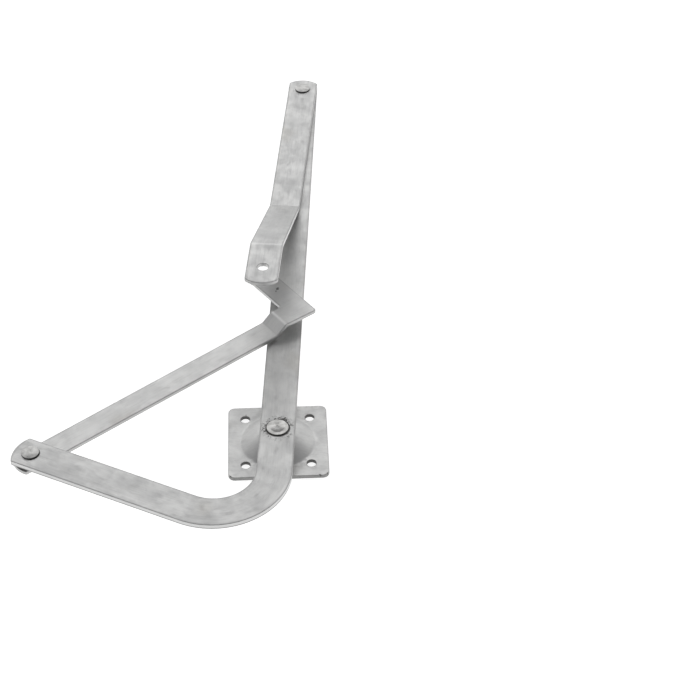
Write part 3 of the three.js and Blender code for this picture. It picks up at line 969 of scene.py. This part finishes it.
def make_link():
    half = LINK_WIDTH / 2
    middle = LINK_THICKNESS / 2
    run_end = middle + (LINK_RUN - LINK_FOOT) * math.tan(LINK_SLOPE)
    tab_middle = run_end + LINK_JOGGLE_RISE
    line = [(-LINK_WIDTH, middle), (LINK_FOOT, middle), (LINK_RUN, run_end),
            (LINK_RUN + LINK_JOGGLE, tab_middle), (CROSS_TAB_OUTER + LINK_WIDTH, tab_middle)]
    across = (CROSS_TAB_INNER + CROSS_TAB_OUTER) / 2
    tip = CROSS_TAB_HOLE + CROSS_TAB_TIP
    reach = LINK_RIVET_PATCH
    tab_reach = CROSS_TAB_PATCH
    hole = (across, CROSS_TAB_HOLE, CROSS_TAB_HOLE_RADIUS)
    xs = stations([
        -LINK_TIP, *stations([-reach, reach], INNER_CELL), *fold_marks(line, LINK_BEND),
        CROSS_TAB_INNER, CROSS_TAB_INNER + EDGE_CELL, CROSS_TAB_OUTER - EDGE_CELL, CROSS_TAB_OUTER,
        *stations([across - tab_reach, across + tab_reach], CROSS_TAB_CELL),
    ], LONG_CELL)
    xs = [x for x in xs if not CROSS_TAB_INNER - EDGE_CELL < x < CROSS_TAB_INNER]
    ys = [*widths(LINK_WIDTH), *stations([
        half + EDGE_CELL, tip,
        *stations([CROSS_TAB_HOLE - tab_reach, CROSS_TAB_HOLE + tab_reach], CROSS_TAB_CELL),
    ], CROSS_TAB_LONG_CELL)]
    bm = blank(xs, ys, LINK_THICKNESS, keep=lambda x, y: y < half or x > CROSS_TAB_INNER)
    punch(bm, (0, 0), reach, BAR_SHANK + SHANK_CLEARANCE)
    punch(bm, (across, CROSS_TAB_HOLE), tab_reach, CROSS_TAB_HOLE_RADIUS)
    cut_end(bm, 0, -reach, -LINK_TIP)
    cut_end(bm, 1, CROSS_TAB_HOLE + tab_reach, tip, width_centre=across)
    corners = [(CROSS_TAB_OUTER, -half), (CROSS_TAB_INNER, half)]
    round_corners(bm, CROSS_TAB_CORNER, near=corners)
    round_corners(bm, CORNER_EASE)
    round_rims(bm, [hole])
    remember_flat(bm, [hole], from_x=-reach)
    ripple(bm, height=0.1 * MM, length=50 * MM, seed=5.3)
    fold(bm, line, LINK_BEND, LINK_THICKNESS)
    pits = [((243 * MM, 29 * MM, LINK_THICKNESS), 1.8 * MM),
            ((240.3 * MM, 27.6 * MM, LINK_THICKNESS), 1.2 * MM)]
    # Painted shade over the cross tab, below the arm's tab.
    darker_spots = [((across, 30 * MM, 0), 48 * MM, 0.9)]
    material = zinc("zinc_link", tone=1.10, mottle=0.4, worn=0.0, shine=1.0,
                    cut_side=LINK_CUT_SIDE, pits=pits, dark_patches=darker_spots)
    return finish_piece(bm, "lower_link_bar", material, "link", "lower_link",
                        placed(END, LINK_HEADING, low("lower_link")))


def make_washer(node, body, shank):
    lowest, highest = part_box(node)
    outer = (highest.x - lowest.x) / 2
    height = highest.z - lowest.z
    inner = shank + SHANK_CLEARANCE
    corners = [(inner, 0), (outer, 0), (outer, height), (inner, height)]
    bm = lathe(rounded(corners, WASHER_ROUNDING), 64)
    centre = (lowest + highest) / 2
    return finish_piece(bm, node + "_ring", WASHER_METAL, body, node,
                        Matrix.Translation((centre.x, centre.y, lowest.z)))


def rivet_section(head, head_base, shank, total, bulge):
    """A rivet's (radius, height) section from its flattened tail, up the shank, to a head whose
    flat brim goes round a low bulge. `bulge` is the share of the head's radius that the bulge
    takes up, and its height."""
    bulge_share, bulge_height = bulge
    bulge_steps = 14
    tail = head - 0.8 * MM
    brim = total - bulge_height
    dome = [(head - 0.25 * MM, brim)]
    for k in range(bulge_steps + 1):
        share = 1 - k / bulge_steps
        rise = bulge_height * (1 - share ** 2)
        dome.append((bulge_share * head * share, brim + rise))
    return [
        (0, 0),
        (tail * 0.45, 0),
        (tail * 0.8, 0.25 * MM),
        (tail, 0.9 * MM),
        (tail, TAIL_HEIGHT - 0.2 * MM),
        (tail - 0.3 * MM, TAIL_HEIGHT),
        (shank, TAIL_HEIGHT),
        (shank, head_base),
        (head - 0.15 * MM, head_base),
        (head, head_base + 0.15 * MM),
        (head, brim - 0.2 * MM),
        (head - 0.07 * MM, brim - 0.07 * MM),
        *dome,
    ]


def make_rivet(node, body, material, shank, bulge, seed):
    """A rivet, with the rim of its head's underside marked for painted shade."""
    lowest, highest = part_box(node)
    centre = (lowest + highest) / 2
    total = highest.z - lowest.z
    head = (highest.x - lowest.x) / 2 - HEAD_INSET
    head_base = total - HEAD_HEIGHT
    section = rivet_section(head, head_base, shank, total, bulge)
    bm = lathe(section, 72, wobble=0.05 * MM, seed=seed)
    rim = bm.verts.layers.float["rim"]
    for v in bm.verts:
        outer = math.hypot(v.co.x, v.co.y) > head - 0.5 * MM
        v[rim] = outer and v.co.z < head_base + 0.2 * MM
    return finish_piece(bm, node + "_peened", material, body, node,
                        Matrix.Translation((centre.x, centre.y, lowest.z)))


def make_burrs():
    """Small dark burrs thrown up round the pivot's head when it was closed, in clusters."""
    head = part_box("pivot_rivet")
    radius = (head[1].x - head[0].x) / 2
    chance = random.Random(7)
    bm = bmesh.new()
    for bearing, spread, farthest, count in BURR_CLUSTERS:
        for _ in range(count):
            angle = (bearing + chance.gauss(0, spread)) * DEGREE
            out = radius + BURR_GAP + farthest * chance.random() ** 1.5
            size = chance.uniform(*BURR_SIZES)
            long = chance.uniform(1.0, 2.0)
            turn = Matrix.Rotation(angle + chance.gauss(0, 0.6), 3, "Z")
            middle = Vector((out * math.cos(angle), out * math.sin(angle), 0))
            for v in bmesh.ops.create_icosphere(bm, subdivisions=1, radius=size)["verts"]:
                uneven = Vector((chance.gauss(0, 0.1), chance.gauss(0, 0.1), 0)) * size
                v.co = middle + turn @ (Vector((v.co.x * long, v.co.y, v.co.z * 0.45)) + uneven)
    return finish_piece(bm, "pivot_burrs", BURR_METAL, "lever", None,
                        Matrix.Translation((PIVOT.x, PIVOT.y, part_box("lever")[1].z)))


make_plate()
make_lever()
make_arm()
make_link()
make_burrs()
for joint, body, material, shank, bulge, seed in (
    ("pivot", "lever", PIVOT_RIVET_METAL, PIVOT_SHANK, PIVOT_BULGE, 1.0),
    ("top", "arm", BAR_RIVET_METAL, BAR_SHANK, BAR_BULGE, 2.0),
    ("end", "link", BAR_RIVET_METAL, BAR_SHANK, BAR_BULGE, 3.0),
):
    make_rivet(joint + "_rivet", body, material, shank, bulge, seed)
    make_washer(joint + "_spacer", body, shank)
    make_washer(joint + "_backing_washer", body, shank)
